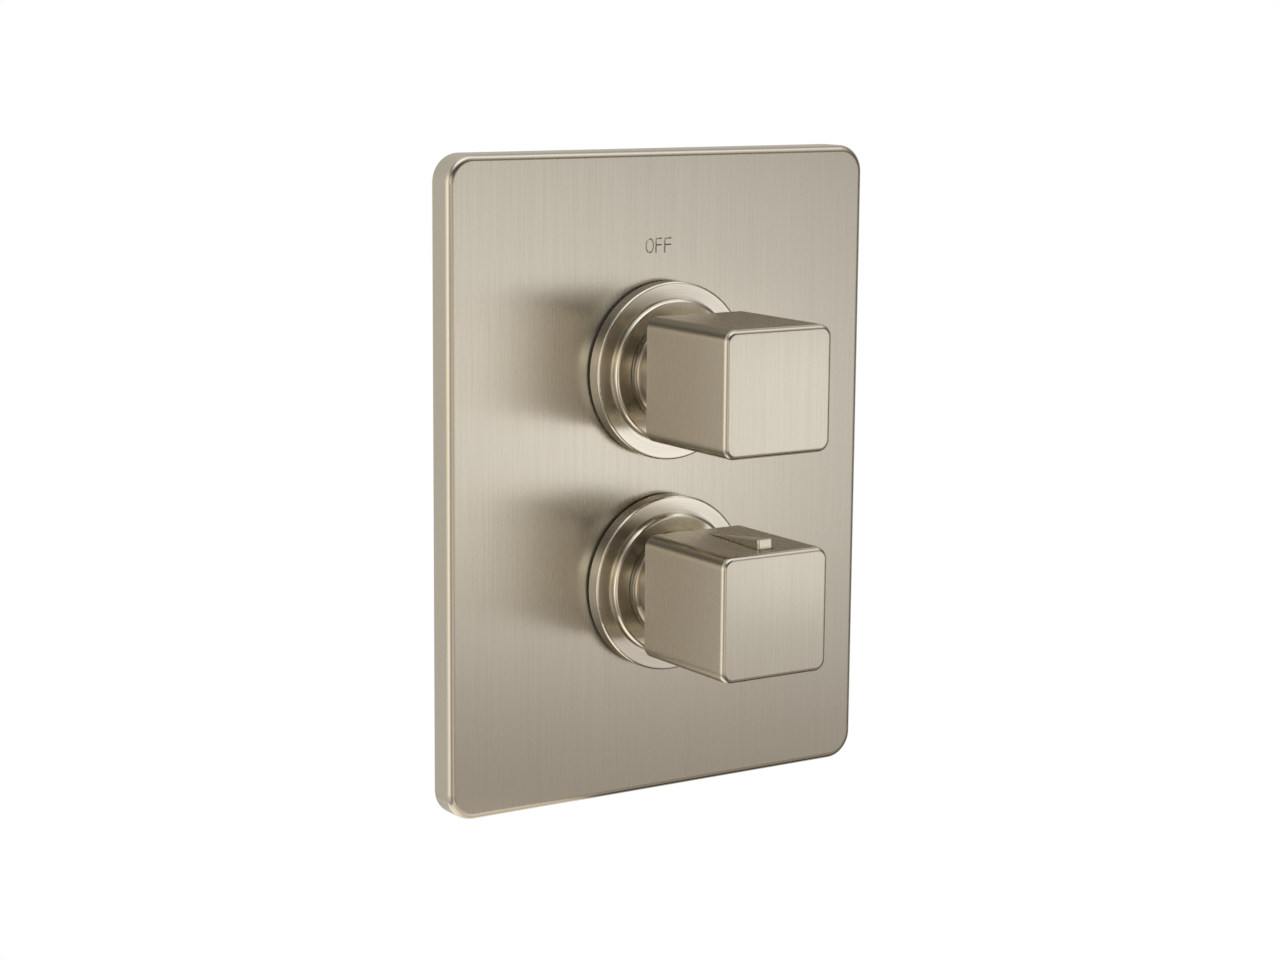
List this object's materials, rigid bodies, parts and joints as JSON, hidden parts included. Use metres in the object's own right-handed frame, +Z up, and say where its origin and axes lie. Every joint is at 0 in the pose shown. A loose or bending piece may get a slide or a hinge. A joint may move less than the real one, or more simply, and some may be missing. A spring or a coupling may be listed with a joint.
{
  "type": "shower valve trim",
  "caption": "Wall-mounted shower valve trim: rounded rectangular plate with a square volume knob above a square temperature knob, each on a stepped round collar, and a wedge override button.",
  "frame": {"origin": "middle of the face plate on the wall plane that its rim stands on", "axes": "+X to the user's right, +Z up, +Y into the wall, so the knobs point along -Y"},
  "size_m": [0.16, 0.074, 0.212],
  "materials": {
    "brushed_nickel": "vertically brushed nickel plate on brass",
    "satin_nickel": "turned satin nickel plate on brass",
    "black_rubber": "moulded black rubber",
    "grey_foam": "closed-cell foam",
    "white_nylon": "moulded nylon",
    "turned_brass": "turned and broached brass",
    "spring_steel": "bright spring steel",
    "stainless_screws": "stainless screws"
  },
  "bodies": {
    "trim": {"face_plate": "brushed_nickel", "wall_gasket": "grey_foam", "volume_collar": "satin_nickel", "volume_collar_seal": "black_rubber", "volume_collar_clip": "spring_steel", "volume_bush": "white_nylon", "volume_spacer_ring": "white_nylon", "temperature_collar": "satin_nickel", "temperature_collar_seal": "black_rubber", "temperature_collar_clip": "spring_steel", "temperature_bush": "white_nylon", "temperature_stop_ring": "white_nylon"},
    "volume_handle": {"volume_knob": "brushed_nickel", "volume_hub": "satin_nickel", "volume_hub_screws": "stainless_screws", "volume_hub_oring": "black_rubber", "volume_stem_adapter": "turned_brass", "volume_set_screw": "stainless_screws"},
    "temperature_handle": {"temperature_knob": "brushed_nickel", "temperature_hub": "satin_nickel", "temperature_hub_screws": "stainless_screws", "temperature_hub_oring": "black_rubber", "temperature_stem_adapter": "turned_brass", "temperature_set_screw": "stainless_screws", "button_pivot_pin": "spring_steel", "button_spring": "spring_steel"},
    "override_button": {"override_button": "brushed_nickel", "button_tongue": "spring_steel", "tongue_rivet": "spring_steel"}
  },
  "joints": [
    {"name": "volume_turn", "type": "hinge", "parent": "trim", "child": "volume_handle", "pos_m": [0, 0, 0.035], "axis": [0, -1, 0], "range_deg": [0, 90]},
    {"name": "temperature_turn", "type": "hinge", "parent": "trim", "child": "temperature_handle", "pos_m": [0, 0, -0.035], "axis": [0, -1, 0], "range_deg": [-180, 60]},
    {"name": "button_press", "type": "hinge", "parent": "temperature_handle", "child": "override_button", "pos_m": [0, -0.0385, -0.0201], "axis": [1, 0, 0], "range_deg": [0, 4.2], "stiffness_Nm_per_rad": 0.44, "springref_deg": -5.73, "deforming": ["button_spring"]}
  ]
}
